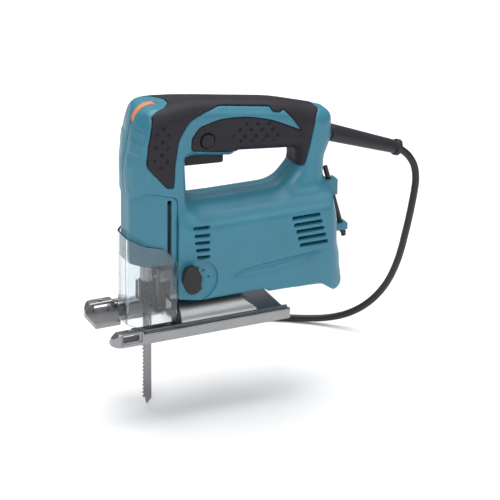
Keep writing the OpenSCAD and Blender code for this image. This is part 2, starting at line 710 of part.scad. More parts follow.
housing_left();
housing_right();
grip_left();
grip_right();
gear_housing();
front_cover();
dust_cover();
sole();
arch_cap();
bevel_clamp();
sole_bolt();
plunger();
plunger_bushes();
blade_holder();
holder_bolt();
blade();
roller_fork();
fork_pin();
roller();
roller_pin();
armature_shaft();
armature_core();
armature_windings();
commutator();
fan();
front_bearing();
rear_bearing();
field_core();
field_coils();
brush_holders();
carbon_brushes();
brush_springs();
crank_gear();
crank_pin();
gear_shaft();
switch_body();
trigger();
trigger_pin();
trigger_spring();
lock_button();
orbit_lever();
orbit_shaft();
speed_dial();
control_board();
wrench_clip();
hex_wrench();
housing_screws();
cord_guard();
cord_clamp();
clamp_screws();
cord();
cord_coil();
coil_tie();
plug_body();
plug_pins();
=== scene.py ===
"""Orbital jigsaw: the visual model, its materials, the studio and the camera.

The shapes are in millimetres, in the frame's own axes: X runs to the rear, Y to the right-hand side and
Z up, from the point where the blade's line meets the sole's underside.
"""

import json
import math

import bmesh
import bpy
import numpy as np
from mathutils import Matrix, Vector


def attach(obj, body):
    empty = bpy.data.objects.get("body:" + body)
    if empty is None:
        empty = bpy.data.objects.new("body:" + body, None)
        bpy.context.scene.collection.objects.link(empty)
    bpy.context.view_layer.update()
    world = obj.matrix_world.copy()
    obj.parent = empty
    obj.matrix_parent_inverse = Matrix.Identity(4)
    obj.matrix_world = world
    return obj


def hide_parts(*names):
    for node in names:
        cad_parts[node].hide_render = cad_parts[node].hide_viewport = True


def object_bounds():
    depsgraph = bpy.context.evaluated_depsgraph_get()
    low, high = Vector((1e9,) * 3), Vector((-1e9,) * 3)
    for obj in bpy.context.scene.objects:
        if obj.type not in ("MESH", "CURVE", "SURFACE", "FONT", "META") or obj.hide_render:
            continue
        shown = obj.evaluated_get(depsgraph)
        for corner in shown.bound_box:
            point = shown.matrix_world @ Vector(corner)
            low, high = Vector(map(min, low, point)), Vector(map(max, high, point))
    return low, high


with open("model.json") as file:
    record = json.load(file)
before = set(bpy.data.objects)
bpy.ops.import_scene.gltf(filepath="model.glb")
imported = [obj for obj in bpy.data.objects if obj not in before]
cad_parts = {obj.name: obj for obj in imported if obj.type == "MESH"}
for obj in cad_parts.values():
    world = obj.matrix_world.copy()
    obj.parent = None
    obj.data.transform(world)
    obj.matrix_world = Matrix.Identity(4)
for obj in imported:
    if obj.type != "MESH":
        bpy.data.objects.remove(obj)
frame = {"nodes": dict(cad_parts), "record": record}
cad_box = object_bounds()
MM = 0.001
NODES = frame["nodes"]
RECORD = frame["record"]
BODY_OF_NODE = {n: b for b, members in RECORD["behaviour"]["bodies"].items() for n in members}


# ---- camera ----
CAMERA_ANGLES = (24.99, 23.808, 0.89)
CAMERA_TARGET = Vector((0.0944, 0, 0.0508))
CAMERA_DISTANCE = 2.2
SENSOR_MM, LENS_MM = 36, 186.6


def make_camera():
    """A long lens ahead of the saw's left side. Its angles are an azimuth, an elevation and a roll."""
    azimuth, elevation, roll = (math.radians(a) for a in CAMERA_ANGLES)
    back = Vector((-math.sin(azimuth) * math.cos(elevation),
                   -math.cos(azimuth) * math.cos(elevation), math.sin(elevation)))
    right = Vector((math.cos(azimuth), -math.sin(azimuth), 0))
    up = back.cross(right)
    right, up = (right * math.cos(roll) + up * math.sin(roll),
                 up * math.cos(roll) - right * math.sin(roll))
    data = bpy.data.cameras.new("camera")
    data.sensor_width, data.lens = SENSOR_MM, LENS_MM
    data.clip_start, data.clip_end = 0.1, 50
    camera = bpy.data.objects.new("camera", data)
    bpy.context.scene.collection.objects.link(camera)
    turned = Matrix((right, up, back)).transposed().to_4x4()
    camera.matrix_world = Matrix.Translation(CAMERA_TARGET + back * CAMERA_DISTANCE) @ turned
    bpy.context.scene.camera = camera


make_camera()


# ---- procedural materials ----
def link(tree, a, out, b, into):
    """Joins an output of node a to an input of node b."""
    tree.links.new(a.outputs[out], b.inputs[into])


def material(name, colour, rough, metallic=0.0, spread=0.06, scale=40, grain=900, bump=0.05,
             stretch=(1, 1, 1), worn=0.08, **sockets):
    """A surface whose colour, roughness and height all vary a little with procedural noise.

    The colour varies by spread in patches of the given scale, and the roughness by worn in the grain,
    which stretch draws out along an axis. Other sockets of the shader are given by name.
    """
    m = bpy.data.materials.new(name)
    m.use_nodes = True
    t = m.node_tree
    shader = t.nodes["Principled BSDF"]
    shader.inputs["Metallic"].default_value = metallic
    for key, value in sockets.items():
        shader.inputs[key.replace("_", " ")].default_value = value
    place = t.nodes.new("ShaderNodeTexCoord")
    stretched = t.nodes.new("ShaderNodeMapping")
    stretched.inputs["Scale"].default_value = stretch
    link(t, place, "Object", stretched, "Vector")
    cloud = t.nodes.new("ShaderNodeTexNoise")
    cloud.inputs["Scale"].default_value, cloud.inputs["Detail"].default_value = scale, 4
    link(t, place, "Object", cloud, "Vector")
    fine = t.nodes.new("ShaderNodeTexNoise")
    fine.inputs["Scale"].default_value, fine.inputs["Detail"].default_value = grain, 3
    link(t, stretched, "Vector", fine, "Vector")
    tint = t.nodes.new("ShaderNodeValToRGB")
    tint.color_ramp.elements[0].position, tint.color_ramp.elements[1].position = 0.3, 0.7
    tint.color_ramp.elements[0].color = [c * (1 - spread) for c in colour] + [1]
    tint.color_ramp.elements[1].color = [min(1, c * (1 + spread)) for c in colour] + [1]
    link(t, cloud, "Fac", tint, "Fac")
    link(t, tint, "Color", shader, "Base Color")
    gloss = t.nodes.new("ShaderNodeMapRange")
    gloss.inputs["To Min"].default_value = max(0.02, rough - worn)
    gloss.inputs["To Max"].default_value = min(1, rough + worn)
    link(t, fine, "Fac", gloss, "Value")
    link(t, gloss, "Result", shader, "Roughness")
    height = t.nodes.new("ShaderNodeBump")
    height.inputs["Strength"].default_value = bump
    height.inputs["Distance"].default_value = 0.0002
    link(t, fine, "Fac", height, "Height")
    link(t, height, "Normal", shader, "Normal")
    return m


PAINTS = {
    "teal_housing": dict(colour=(0.028, 0.165, 0.235), rough=0.38, spread=0.06, grain=2200, bump=0.10),
    "soft_grip": dict(colour=(0.013, 0.011, 0.016), rough=0.6, spread=0.2, grain=1800, bump=0.2,
                      Specular_IOR_Level=0.3),
    "black_plastic": dict(colour=(0.012, 0.011, 0.014), rough=0.42, spread=0.15, grain=1500,
                          Specular_IOR_Level=0.35),
    "cord_rubber": dict(colour=(0.011, 0.010, 0.014), rough=0.45, spread=0.15, grain=1500,
                        Specular_IOR_Level=0.4),
    "cast_metal": dict(colour=(0.30, 0.31, 0.32), rough=0.45, metallic=1, bump=0.25, grain=700),
    "sole_steel": dict(colour=(0.30, 0.30, 0.305), rough=0.36, metallic=1, bump=0.10,
                       stretch=(0.03, 1, 1), grain=2500),
    "ground_steel": dict(colour=(0.27, 0.265, 0.275), rough=0.27, metallic=1,
                         stretch=(1, 1, 0.08), grain=2000),
    "black_steel": dict(colour=(0.030, 0.028, 0.032), rough=0.35, metallic=0.6),
    "screw_steel": dict(colour=(0.40, 0.40, 0.41), rough=0.35, metallic=1),
    "copper": dict(colour=(0.6, 0.25, 0.1), rough=0.35, metallic=1, stretch=(12, 1, 1)),
    "bronze": dict(colour=(0.6, 0.4, 0.18), rough=0.35, metallic=1),
    "carbon": dict(colour=(0.03, 0.03, 0.03), rough=0.7),
    "orange_plastic": dict(colour=(0.58, 0.19, 0.07), rough=0.45),
    "circuit_board": dict(colour=(0.02, 0.14, 0.07), rough=0.4, spread=0.3, scale=300),
    "clear_plastic": dict(colour=(0.80, 0.84, 0.86), rough=0.05, spread=0.02, bump=0.03, worn=0.03,
                          Transmission_Weight=1.0, IOR=1.5),
}
SLOTS = {name: material(name, **paint) for name, paint in PAINTS.items()}
SLOT_OF_NODE = {s["node"]: s["material_slot"] for s in RECORD["subparts"]}


def finish_piece(piece, slot, body):
    """Gives a piece its material, its slot and the body that it moves with."""
    piece.data.materials.clear()
    piece.data.materials.append(SLOTS[slot])
    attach(piece, body)
    return piece


def link_object(name, data):
    piece = bpy.data.objects.new(name, data)
    bpy.context.scene.collection.objects.link(piece)
    return piece


# ---- the mains cord ----
CORD_THICK = 6.4
ROUTE = [(233.4, 0, 123.2), (242.9, 0, 115), (249.5, 0.1, 104.3), (252, 0.7, 92),
         (252.1, 2.3, 79.5), (251.8, 4.9, 67.2), (251.7, 8.1, 55), (251.6, 11.7, 42.9),
         (251.5, 15.6, 30.9), (251.4, 19.6, 19), (251, 24, 7.1), (250.1, 28.9, -4.5),
         (248.7, 34.2, -15.8), (246.3, 39.9, -26.7), (242.8, 46.3, -37.1), (238.2, 53.1, -46.6),
         (232.4, 60.5, -55), (225.3, 68.3, -62), (217, 76.2, -67.1), (207.9, 84.2, -70.5),
         (198.1, 91.9, -72.4), (187.9, 99.2, -73.4), (177.2, 106, -73.7), (166.1, 111.9, -73.8),
         (154.5, 116.7, -73.8), (142.4, 120.2, -73.8), (130, 122.6, -73.8)]
TAIL = [(145, 139, -60.5), (135, 134.5, -59), (124, 132.5, -57), (112, 134, -55.3),
        (100.5, 140, -54.6), (91.5, 151, -54.5), (88, 164.5, -54.5), (89.5, 174.5, -54.4),
        (94.5, 183, -54), (102, 189.5, -53.4), (111, 192.6, -52.5), (120, 193, -51.8)]
COIL_AT, COIL_FOOT = (130, 165), -73.8
TURN_RADII = [29.6 + CORD_THICK * turn for turn in (2, 1, 0)]
COIL_RADII = TURN_RADII + TURN_RADII[::-1] + TURN_RADII
COIL_LEVELS = [COIL_FOOT + CORD_THICK * layer for layer in range(3) for _ in TURN_RADII]


def through(points, steps):
    """A smooth line through the points, with so many steps between each two."""
    p = np.array(points, float)
    line = []
    for i in range(len(p) - 1):
        a, b, c, d = p[max(i - 1, 0)], p[i], p[i + 1], p[min(i + 2, len(p) - 1)]
        for t in np.arange(steps) / steps:
            line.append(0.5 * (2 * b + (c - a) * t + (2 * a - 5 * b + 4 * c - d) * t ** 2
                               + (3 * b - a - 3 * c + d) * t ** 3))
    return line + [p[-1]]


def coil_line():
    """Nine turns in three layers, each turn stepping to its neighbour over its last sixth."""
    line, turns = [], len(COIL_RADII)
    for angle in range(10, turns * 360 - 35, 10):
        turn, part = divmod(angle / 360, 1)
        k, step = int(turn), max(0.0, (part - 5 / 6) * 6)
        step = step * step * (3 - 2 * step)
        after = min(k + 1, turns - 1)
        radius = COIL_RADII[k] * (1 - step) + COIL_RADII[after] * step
        level = COIL_LEVELS[k] * (1 - step) + COIL_LEVELS[after] * step
        a = math.radians(270 - angle)
        x, y = COIL_AT[0] + radius * math.cos(a), COIL_AT[1] + radius * math.sin(a)
        line.append(np.array([x, y, level]))
    return line


def make_cord():
    """The whole lead as one tube: down from its guard, round the coil and up to the plug."""
    line = np.array(through(ROUTE, 4) + coil_line() + through(TAIL, 3)) * MM
    data = bpy.data.curves.new("mains_cord", "CURVE")
    data.dimensions, data.bevel_depth, data.bevel_resolution = "3D", CORD_THICK * MM / 2, 4
    data.use_fill_caps = True
    spline = data.splines.new("POLY")
    spline.points.add(len(line) - 1)
    spline.points.foreach_set("co", np.c_[line, np.ones(len(line))].ravel())
    spline.use_smooth = True
    cord = finish_piece(link_object("mains_cord", data), "cord_rubber", "housing")
    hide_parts("cord", "cord_coil")


make_cord()


# ---- solids from distance fields: negative inside ----
TINY = 1e-9


def unit(v):
    return v / np.linalg.norm(v)


def soft(corners):
    """The outline through corners given as (x, y, radius), with each corner rounded."""
    points = []
    for i, (x, y, r) in enumerate(corners):
        b = np.array([x, y], float)
        if r == 0:
            points.append(b)
            continue
        u = unit(np.array(corners[i - 1][:2]) - b)
        v = unit(np.array(corners[(i + 1) % len(corners)][:2]) - b)
        half = math.acos(float(u @ v)) / 2
        centre = b + unit(u + v) * r / math.sin(half)
        p, q = b + u * r / math.tan(half) - centre, b + v * r / math.tan(half) - centre
        first = math.atan2(p[1], p[0])
        turn = (math.atan2(q[1], q[0]) - first + math.pi) % (2 * math.pi) - math.pi
        n = max(2, math.ceil(abs(turn) / math.radians(10)))
        for k in range(n + 1):
            a = first + turn * k / n
            points.append(centre + r * np.array([math.cos(a), math.sin(a)]))
    return np.array(points)


def within(corners, x, y):
    """Signed distance from points x, y to an outline."""
    p = soft(corners)
    shape = np.broadcast(x, y).shape
    best, inside = np.full(shape, 1e9), np.zeros(shape, bool)
    for (ax, ay), (bx, by) in zip(p, np.roll(p, -1, 0)):
        ex, ey = bx - ax, by - ay
        if ex * ex + ey * ey < TINY:
            continue
        t = np.clip(((x - ax) * ex + (y - ay) * ey) / (ex * ex + ey * ey), 0, 1)
        best = np.minimum(best, (x - ax - t * ex) ** 2 + (y - ay - t * ey) ** 2)
        if abs(ey) > TINY:
            inside ^= ((ay > y) != (by > y)) & (x < ex * (y - ay) / ey + ax)
    return np.where(inside, -np.sqrt(best), np.sqrt(best))


def ramp(a, b, x):
    """Rises smoothly from 0 at a to 1 at b."""
    t = np.clip((x - a) / (b - a), 0, 1)
    return t * t * (3 - 2 * t)


def rounded(a, b, r):
    """Where two solids overlap, with the edge between them rounded by r."""
    a, b = a + r, b + r
    return np.minimum(np.maximum(a, b), 0) + np.hypot(np.maximum(a, 0), np.maximum(b, 0)) - r


def merged(a, b, r):
    """Two solids joined with a fillet of about r."""
    h = np.maximum(r - np.abs(a - b), 0) / r
    return np.minimum(a, b) - h * h * r / 4


def cut(a, *others):
    """A solid with the others taken out of it."""
    for b in others:
        a = np.maximum(a, -b)
    return a


def brick(x, y, z, low, high, r=0.0):
    """A box's distance, with corners rounded by r."""
    parts = [np.maximum(l - v, v - h) + r for v, l, h in zip((x, y, z), low, high)]
    outside = np.sqrt(sum(np.maximum(p, 0) ** 2 for p in parts))
    inner = np.minimum(np.maximum(np.maximum(parts[0], parts[1]), parts[2]), 0)
    return outside + inner - r


def grid(low, high, step):
    """The x, y and z of a block of points that reaches two steps past low and high."""
    axes = [np.arange(l - 2 * step, h + 2 * step, step) for l, h in zip(low, high)]
    return (axes[0][:, None, None], axes[1][None, :, None], axes[2][None, None, :])


CORNERS = [(i, j, k) for i in (0, 1) for j in (0, 1) for k in (0, 1)]
EDGES = [(a, b) for a in CORNERS for b in CORNERS
         if a < b and sum(abs(p - q) for p, q in zip(a, b)) == 1]


def surface(field, axes):
    """Vertices and quads of a field's zero surface: one vertex in each cell that it crosses."""
    field = np.broadcast_to(field, tuple(a.size for a in axes)).astype(np.float32).copy()
    for k in range(3):
        view = np.moveaxis(field, k, 0)
        view[0] = np.maximum(view[0], 0.1)
        view[-1] = np.maximum(view[-1], 0.1)
    n = [s - 1 for s in field.shape]

    def corner(c):
        return field[c[0]:c[0] + n[0], c[1]:c[1] + n[1], c[2]:c[2] + n[2]]

    negative = sum((corner(c) < 0).astype(np.int8) for c in CORNERS)
    cells = np.argwhere((negative > 0) & (negative < 8))
    values = {c: corner(c)[tuple(cells.T)] for c in CORNERS}
    total, count = np.zeros((len(cells), 3)), np.zeros(len(cells))
    for a, b in EDGES:
        crossed = (values[a] < 0) != (values[b] < 0)
        t = values[a] / np.where(crossed, values[a] - values[b], 1)
        point = np.array(a) + t[:, None] * (np.array(b) - np.array(a))
        total += np.where(crossed[:, None], point, 0)
        count += crossed
    index = np.full(n, -1, np.int32)
    index[tuple(cells.T)] = np.arange(len(cells))
    start = np.array([a.ravel()[0] for a in axes])
    step = np.array([a.ravel()[1] - a.ravel()[0] for a in axes])
    vertices = start + (cells + total / count[:, None]) * step
    quads = []
    for k in range(3):
        u, v = [(1, 2), (2, 0), (0, 1)][k]
        here = field < 0
        low = [slice(1, None)] * 3
        low[k] = slice(0, -1)
        high = list(low)
        high[k] = slice(1, None)
        a, b = here[tuple(low)], here[tuple(high)]
        for flip in (False, True):
            where = np.argwhere((a & ~b) if not flip else (~a & b))
            where[:, u] += 1
            where[:, v] += 1
            du, dv = np.eye(3, dtype=int)[u], np.eye(3, dtype=int)[v]
            ok = (where[:, u] < n[u]) & (where[:, v] < n[v])
            where = where[ok]
            ring = [where - du - dv, where - dv, where, where - du]
            quad = np.stack([index[tuple(r.T)] for r in ring], 1)
            quads.append(quad[:, ::-1] if flip else quad)
    return vertices, np.concatenate(quads)


def solid(name, slot, body, field, axes, replaced, mirror=False):
    """A piece made from a field, in place of the CAD nodes replaced. A mirrored one lies on the left."""
    vertices, quads = surface(field, axes)
    vertices = vertices * MM
    if mirror:
        vertices, quads = vertices * (1, -1, 1), quads[:, ::-1]
    data = bpy.data.meshes.new(name)
    data.from_pydata(vertices.tolist(), [], quads.tolist())
    data.validate()
    data.shade_smooth()
    data.set_sharp_from_angle(angle=math.radians(40))
    piece = finish_piece(link_object(name, data), slot, body)
    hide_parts(*replaced)


# ---- housing and soft grip ----
# SIDE, OPENING, GRIP and CHIN are outlines seen from the side, in X and Z, with each corner's radius.
# HEAD_PLAN and TONGUE are seen from above, in X and Y.
SIDE = [(-21.2, 27.7, 0), (-20.9, 123, 0), (-22, 146, 60), (-15.4, 180, 30), (-9.5, 197.2, 16),
        (34, 197.2, 120), (112, 185.5, 150), (165.3, 170.5, 10), (165.8, 147, 6), (158.5, 131, 12),
        (157.3, 108, 20), (165, 82, 30), (166.3, 57, 3), (169.8, 44, 12), (169.8, 16, 7),
        (161, 13.5, 6), (148, 23, 12), (98, 25, 0), (94, 27.7, 0)]
HEAD_PLAN = [(-67, -60, 0), (-12, 26.5, 13), (12, 26.5, 20), (38, 18.8, 25), (150, 17.8, 30),
             (169.8, 13, 8), (169.8, -60, 0)]
OPENING = [(26.3, 151.5, 0), (29, 109.5, 8), (60, 107.6, 0), (114, 107.4, 20), (131.5, 127, 12),
           (131, 142.7, 6), (77, 148.3, 0), (70, 144.8, 2), (65, 145.5, 0)]
GRIP = [(-4.4, 205, 0), (-4.4, 193, 5), (-9.3, 170, 40), (-10.7, 152, 8), (7, 131, 4), (13.2, 130.4, 1),
        (14, 148, 40), (17.5, 170, 20), (28, 184, 15), (45, 188.9, 30), (66, 193, 40), (102, 187.5, 3),
        (106, 180.2, 2.5), (112, 178.8, 3), (116.3, 180.4, 2), (123, 173, 20), (131.5, 160.8, 0),
        (104, 173.8, 60), (82, 179.8, 60), (58, 181.6, 40), (39, 176.8, 15), (31, 168.5, 8),
        (30.6, 157.5, 5), (45, 154, 20), (66.5, 150.2, 3), (72, 151.5, 0), (76, 144, 0), (118, 140, 6),
        (121, 133, 0), (130, 127, 3), (136.3, 127.5, 3), (142.9, 160, 40), (145.5, 171, 8),
        (153, 175, 0), (153, 205, 0)]
TONGUE = [(-40, 21, 0), (-3, 20.5, 3), (9, 15, 8), (16.7, 5, 8), (16.7, -5, 8), (9, -15, 8),
          (-3, -20.5, 3), (-40, -21, 0)]
CHIN = [(-60, -20, 0), (-60, 121, 0), (-19.5, 121.3, 2), (-11, 128, 4), (-3, 127.2, 6), (17, 120.5, 7),
        (17, -20, 0)]
# The swept groove's stations along X, with the heights of its top edge and its foot.
GROOVE_X = [56, 63, 77, 85, 100, 115, 131, 152]
GROOVE_TOP = [44, 48.4, 51.0, 52.3, 53.6, 54.6, 55.6, 56.8]
GROOVE_FOOT = [44, 43.8, 43.7, 43.8, 44.2, 46.2, 48.8, 56.6]
# How far the nose's front stands ahead of the blade, by height.
NOSE_Z = [123, 146, 180, 192]
NOSE_FRONT = [20.9, 22, 15.4, 10]
# The height where each band of the nose starts, and how far that band is set back.
FACETS = [(127, 1.1), (141, 0.3), (148, 1.1), (160, 0.5), (171, 1.2), (182, 0.4)]
FACET_NORMAL, FACET_EDGE = (0.962, 0.272), 10.5
MOTOR_HALF, MOTOR_EDGE, HEAD_INSET, REAR_INSET = 33, 3, 6.4, 9
CREST, CREST_SLOPE = 107, 0.3
SADDLE_ROOM, MOTOR_ROOM, MOTOR_Z, ROOM_FRONT, ROOM_REAR = 40, 27, 65, 38, 137
# X and Z of the controls, the dots round the lever and the screws, with the radius of each hole.
LEVER, DIAL, LOCK = (31.5, 46.5), (1.9, 182), (46, 164)
LEVER_ROOM, DIAL_ROOM, LOCK_ROOM, SCREW_ROOM, MARK_ROOM = 18.5, 15.6, 6.6, 3.9, 1.1
LEVER_MARKS = [(32.3, 57.5), (37.6, 54.6), (42.4, 48.2), (35.8, 38.5), (21.5, 33.6)]
SCREWS = [(20, 132), (22, 187), (92, 180), (155, 160), (150, 112), (86, 101.5), (152, 34)]
VENTS, DIMPLE_RADIUS = 5, 1.5
GRIP_DEPTH, GRIP_PROUD, GRIP_GAP = 2.2, 0.3, 0.25
GUARD_ROOT, GUARD_DROP, GUARD_ROOM = (166.6, 147.4), math.radians(19.9), 6.8
HALF_GAP = 0.12
BODY_STEP = 0.8


def groove(x, z):
    """Depth of the swept groove along the lower side: steep at its top, running out at its foot."""
    top, foot = np.interp(x, GROOVE_X, GROOVE_TOP), np.interp(x, GROOVE_X, GROOVE_FOOT)
    t = (top - z) / np.maximum(top - foot, 0.5)
    return 2.8 * ramp(0, 0.4, t) * (1 - ramp(0.45, 1.3, t)) * ramp(56, 80, x) * (1 - ramp(132, 152, x))


def facet_depth(z):
    """How far the nose's flat front is set back: small steps that alternate up its height."""
    depth, before = 0.4, 0.4
    for start, after in FACETS:
        depth = depth + (after - before) * ramp(start - 0.5, start + 0.5, z)
        before = after
    return depth


def shell_shape(x, y, z):
    """The closed outer shape of the housing, without its holes."""
    side, hole = within(SIDE, x, z), within(OPENING, x, z)
    front = 1 - ramp(14, 40, x)
    radius = 12 + front * (9 * ramp(160, 188, z) - 8)
    upper = rounded(np.maximum(np.maximum(side, -hole), 96 - z), within(HEAD_PLAN, x, y), radius)
    nose = -x - np.interp(z, NOSE_Z, NOSE_FRONT)
    facet = FACET_NORMAL[0] * nose + FACET_NORMAL[1] * (y - FACET_EDGE) + facet_depth(z)
    upper = np.maximum(upper, facet)
    inset = HEAD_INSET * (1 - ramp(12, 40, x)) + REAR_INSET * ramp(152, 176, x)
    lower_half = MOTOR_HALF - inset - groove(x, z)
    edge = MOTOR_EDGE + 7 * np.maximum(ramp(62, 94, z), ramp(125, 165, x) * ramp(18, 40, z))
    crest = (z - CREST + CREST_SLOPE * np.maximum(y - 7, 0)) / 1.04
    lower = rounded(np.maximum(side, crest), y - lower_half, edge)
    return cut(merged(upper, lower, 12), within(CHIN, x, z))


def bore(x, y, z, at, radius, depth):
    """A round hole along Y from the outside in to Y = depth."""
    return np.maximum(np.hypot(x - at[0], z - at[1]) - radius, depth - y)


def inner_rooms(x, y, z):
    """The hollows that the sole's saddle, the motor, the dial, the lead's guard and the trigger need."""
    sole_room = np.maximum(np.hypot(y, z) - SADDLE_ROOM, x - ROOM_REAR)
    sole_room = cut(sole_room, np.maximum(y - 12.5, 27 - z))
    motor_ends = np.maximum(ROOM_FRONT - x, x - ROOM_REAR)
    motor_room = np.maximum(np.hypot(y, z - MOTOR_Z) - MOTOR_ROOM, motor_ends)
    dial_room = np.maximum(y - 3.2, np.hypot(x - DIAL[0], z - DIAL[1]) - DIAL_ROOM)
    dx, dz = x - GUARD_ROOT[0], z - GUARD_ROOT[1]
    along = dx * math.cos(GUARD_DROP) - dz * math.sin(GUARD_DROP)
    across = dx * math.sin(GUARD_DROP) + dz * math.cos(GUARD_DROP)
    guard_room = np.maximum(np.hypot(y, across) - GUARD_ROOM, -14 - along)
    trigger_room = brick(x, y, z, (27.2, -20, 136), (66.5, 9.6, 157))
    return [sole_room, motor_room, dial_room, guard_room, trigger_room]


def vents(x, y, z):
    """Air slots low on the head and at the rear, each a step below the one before."""
    slots = []
    for i in range(VENTS):
        front, rear = 91.5 - 6.5 * i, 87 - 6.4 * i
        slots.append(brick(x, y, z, (29 + 0.7 * i, 20, front), (42.6, 60, front + 2.9), 0.6))
        slots.append(brick(x, y, z, (118 + 1.9 * i, 20, rear), (144 + 1.9 * i, 60, rear + 3.1), 0.6))
    return slots


def shell_holes(x, y, z, left):
    """Everything cut out of the housing, as one field."""
    holes = inner_rooms(x, y, z) + vents(x, y, z)
    if left:
        holes.append(bore(x, y, z, LEVER, LEVER_ROOM, 30.6))
        holes += [bore(x, y, z, mark, MARK_ROOM, 29) for mark in LEVER_MARKS]
        holes.append(bore(x, y, z, LOCK, LOCK_ROOM, 9))
    else:
        holes += [bore(x, y, z, screw, SCREW_ROOM, 13.5) for screw in SCREWS]
    field = holes[0]
    for hole in holes[1:]:
        field = np.minimum(field, hole)
    return field


def dimple_centres():
    """X and Z of the round dimples: staggered rows on the handle and down the front patch."""
    rows = [(81, 174.2, 3), (75, 169.8, 4), (69.5, 164.8, 5), (76, 159.8, 4)]
    centres = [(a + 10 * i, b - 1.25 * i) for a, b, n in rows for i in range(n)]
    centres += [(3.6 - 0.85 * k, 183.8 - 11.2 * k) for k in range(4)]
    centres += [(-1.8 - 1.1 * k, 179.6 - 11.4 * k) for k in range(3)]
    return centres + [(8.2 - 0.8 * k, 177.7 - 11.5 * k) for k in range(3)]


def dimples(x, z):
    field = 9.0
    for a, b in dimple_centres():
        field = np.minimum(field, np.hypot(x - a, z - b) - DIMPLE_RADIUS)
    return field


def grip_patch(x, y, z):
    """Where the soft grip lies: its outline without the nose's tongue, and a band along the spine."""
    patch = np.maximum(within(GRIP, x, z), -np.maximum(within(TONGUE, x, y), 192 - z))
    spine = np.maximum(np.maximum(y - 12.6, 180 - z), np.abs(x - 75) - 35)
    return np.minimum(patch, spine)


def make_shell(left):
    """Half of the housing and the soft grip let into it, standing a little proud."""
    axes = grid((-24, 0, 12), (172, 34, 198), BODY_STEP)
    x, y, z = axes
    shape, holes = shell_shape(x, y, z), shell_holes(x, y, z, left)
    patch, middle = grip_patch(x, y, z), HALF_GAP - y
    grip_room = np.maximum(patch - GRIP_GAP, -(shape + GRIP_DEPTH))
    plastic = np.maximum(cut(shape, holes, grip_room), middle)
    skin = np.maximum(shape - GRIP_PROUD, -(shape + GRIP_DEPTH - 0.2))
    rubber = np.maximum(skin, np.maximum(patch + GRIP_GAP, middle))
    rubber = cut(rubber, holes, np.maximum(dimples(x, z), -(shape + 0.9)))
    name = "left" if left else "right"
    solid("shell_" + name, "teal_housing", "housing", plastic, axes, ["housing_" + name], left)
    solid("soft_grip_" + name, "soft_grip", "housing", rubber, axes, ["grip_" + name], left)


for is_left in (True, False):
    make_shell(is_left)


# ---- front cover ----
FINE_STEP = 0.6
COVER_PLAN = [(-19.9, 9.6, 8), (-11, 24.5, 12), (16.8, 24.5, 0), (16.8, -24.5, 0), (-11, -24.5, 12),
              (-19.9, -9.6, 8)]


def make_front_cover():
    """The lower nose, hollow for the saw's drive, with a slot for the clear cover on each side."""
    axes = grid((-21, -26, 60), (18, 26, 130), FINE_STEP)
    x, y, z = axes
    plan = within(COVER_PLAN, x, y)
    outer = rounded(plan, np.abs(z - 96) - 34, 1.0)
    outer = np.maximum(outer, within(CHIN, x, z) + 0.3)
    hollow = np.maximum(plan + 2.2, z - 118)
    slots = brick(x, np.abs(y), z, (8, 20, 66), (11.5, 40, 119), 0.5)
    solid("nose_cover", "teal_housing", "housing", cut(outer, hollow, slots), axes, ["front_cover"])


make_front_cover()


# ---- sole ----
# SOLE_PLAN is seen from above. ARCH_SIDE and NOSE_CUT are seen from the side.
SOLE_FRONT, SOLE_BACK, SOLE_HALF = -45, 116, 38.5
SOLE_PLAN = [(SOLE_FRONT, SOLE_HALF, 9), (SOLE_BACK, SOLE_HALF, 3), (SOLE_BACK, -SOLE_HALF, 3),
             (SOLE_FRONT, -SOLE_HALF, 9)]
ARCH_SIDE = [(20, -5, 0), (20, 40, 0), (77, 40, 0), (77.5, 24, 4), (81, 16, 8), (90, 9, 4), (90, -5, 0)]
NOSE_CUT = [(-60, 5, 0), (-60, 30, 0), (-34, 18, 0), (-38, 14, 0), (-47, 5, 0)]
ARCH_OUTER, ARCH_INNER, PLATE_THICK = 26, 23.5, 4
RAIL_INNER, BLOCK_REAR = 28.5, -18.5
BOLT_X, BOLT_TRAVEL = 45.5, 11.2
WINDOW_X, WINDOW_Z = -29.25, 6.75


def sole_metal(x, y, z):
    """The plate with the saddle's arch over it, a raised rail on each side and a block at each front end."""
    plan = within(SOLE_PLAN, x, y)
    plate = np.maximum(plan, np.abs(z - PLATE_THICK / 2) - PLATE_THICK / 2)
    arch = np.maximum(np.hypot(y, z) - ARCH_OUTER, -z)
    arch = np.maximum(arch, np.maximum(within(ARCH_SIDE, x, z), 21 - x))
    strip = np.maximum(plan, RAIL_INNER - np.abs(y))
    rail = np.maximum(rounded(strip, np.abs(z - 3.5) - 5.5, 0.9), -z)
    block = np.maximum(rounded(np.maximum(strip, x - BLOCK_REAR), np.abs(z - 5) - 7, 1.6), -z)
    whole = np.minimum(merged(plate, arch, 6), np.minimum(rail, block))
    return np.maximum(whole, plan)


def guide_openings(x, a, z):
    """The rip guide's window through each block, flared at its mouth, and the holes above it."""
    window = brick(x, a, z, (-36.5, 20, 4), (-22, 60, 9.5), 0.4)
    mouth = brick(x, a, z, (-38.4, 36.6, 2.6), (-20.2, 60, 11.2), 0.4)
    flare = np.maximum(np.abs(x - WINDOW_X) - 7.2, np.abs(z - WINDOW_Z) - 2.7)
    mouth = np.maximum(mouth, 34.6 - a + 1.4 * flare)
    hole = np.maximum(np.hypot(x + 29.5, a - 33) - 2, 9 - z)
    return window, mouth, hole


